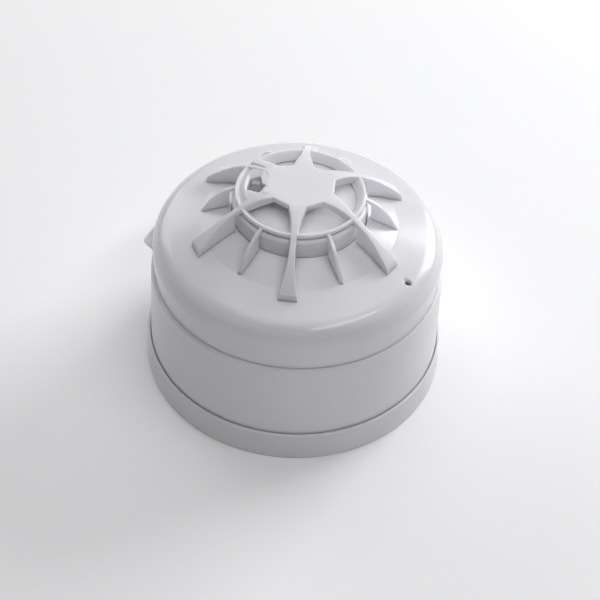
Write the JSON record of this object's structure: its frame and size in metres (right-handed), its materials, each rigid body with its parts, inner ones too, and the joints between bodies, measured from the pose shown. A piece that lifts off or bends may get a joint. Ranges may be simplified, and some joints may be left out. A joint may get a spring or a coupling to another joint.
{
  "type": "heat detector",
  "caption": "Round white ceiling heat detector on a twist-lock mounting base, with a ribbed star cage over the heat sensor and a battery radio inside.",
  "frame": {"origin": "centre of the mounting base's flat underside, the face that goes against the ceiling", "axes": "+Z points away from the ceiling, out through the star; +X and +Y run through the two pairs of fixing slots, and +Y through the star's rib that is opposite the front rib"},
  "size_m": [0.1109, 0.11, 0.0802],
  "materials": {
    "base_plastic": "white moulded, satin",
    "housing_plastic": "white moulded, satin",
    "cover_plastic": "white moulded, polished",
    "dome_plastic": "white moulded, satin",
    "inner_plastic": "pale grey moulded",
    "plunger_plastic": "natural acetal",
    "clear_plastic": "clear moulded light pipe",
    "led_body": "clear resin on a white base",
    "sensor_resin": "dark glossy resin bead",
    "tinned_wire": "tinned",
    "tinned_steel": "tin plated sheet",
    "zinc_steel": "zinc plated",
    "dark_steel": "black oxide",
    "spring_steel": "drawn wire",
    "nickel_plate": "nickel plated strip",
    "antenna_brass": "plain strip",
    "insert_brass": "turned",
    "board_green": "solder mask",
    "chip_black": "moulded package",
    "connector_black": "moulded",
    "capacitor_sleeve": "shrunk sleeve",
    "battery_sleeve": "shrunk sleeve",
    "grey_foam": "closed-cell foam",
    "black_rubber": "moulded"
  },
  "bodies": {
    "base": {"mounting_base": "base_plastic"},
    "head": {"body_housing": "housing_plastic", "top_cover": "cover_plastic", "sensor_cage": "cover_plastic", "sensor_dome": "dome_plastic", "thermistor_bead": "sensor_resin", "thermistor_leads": "tinned_wire", "thermistor_bush": "black_rubber", "led_light_pipe": "clear_plastic", "status_led": "led_body", "sensor_board": "board_green", "sensor_chip": "chip_black", "board_link_header": "connector_black", "sensor_stack_screws": "zinc_steel", "radio_board": "board_green", "radio_board_screws": "zinc_steel", "radio_shield_can": "tinned_steel", "radio_antennas": "antenna_brass", "buffer_capacitor": "capacitor_sleeve", "battery_carrier": "inner_plastic", "battery_cells": "battery_sleeve", "battery_positive_contacts": "nickel_plate", "battery_negative_contacts": "nickel_plate", "battery_pad": "grey_foam", "battery_door": "housing_plastic", "door_screws": "zinc_steel", "cover_screws": "zinc_steel", "cover_seal": "black_rubber", "screw_insert": "insert_brass", "tamper_spring": "spring_steel", "tamper_cap": "inner_plastic", "tamper_switch": "connector_black", "index_flag": "housing_plastic"},
    "lock_screw": {"locking_screw": "dark_steel"},
    "tamper": {"tamper_plunger": "plunger_plastic"}
  },
  "joints": [
    {"name": "head_twist", "type": "hinge", "parent": "base", "child": "head", "pos_m": [0, 0, 0], "axis": [0, 0, 1], "range_deg": [0, 24]},
    {"name": "locking_screw_travel", "type": "slide", "parent": "head", "child": "lock_screw", "axis": [0, 0, -1], "range_m": [0, 0.005]},
    {"name": "tamper_press", "type": "slide", "parent": "head", "child": "tamper", "axis": [0, 0, 1], "range_m": [0, 0.0015], "stiffness_N_per_m": 150, "springref_m": -0.003, "deforming": ["tamper_spring"]}
  ]
}
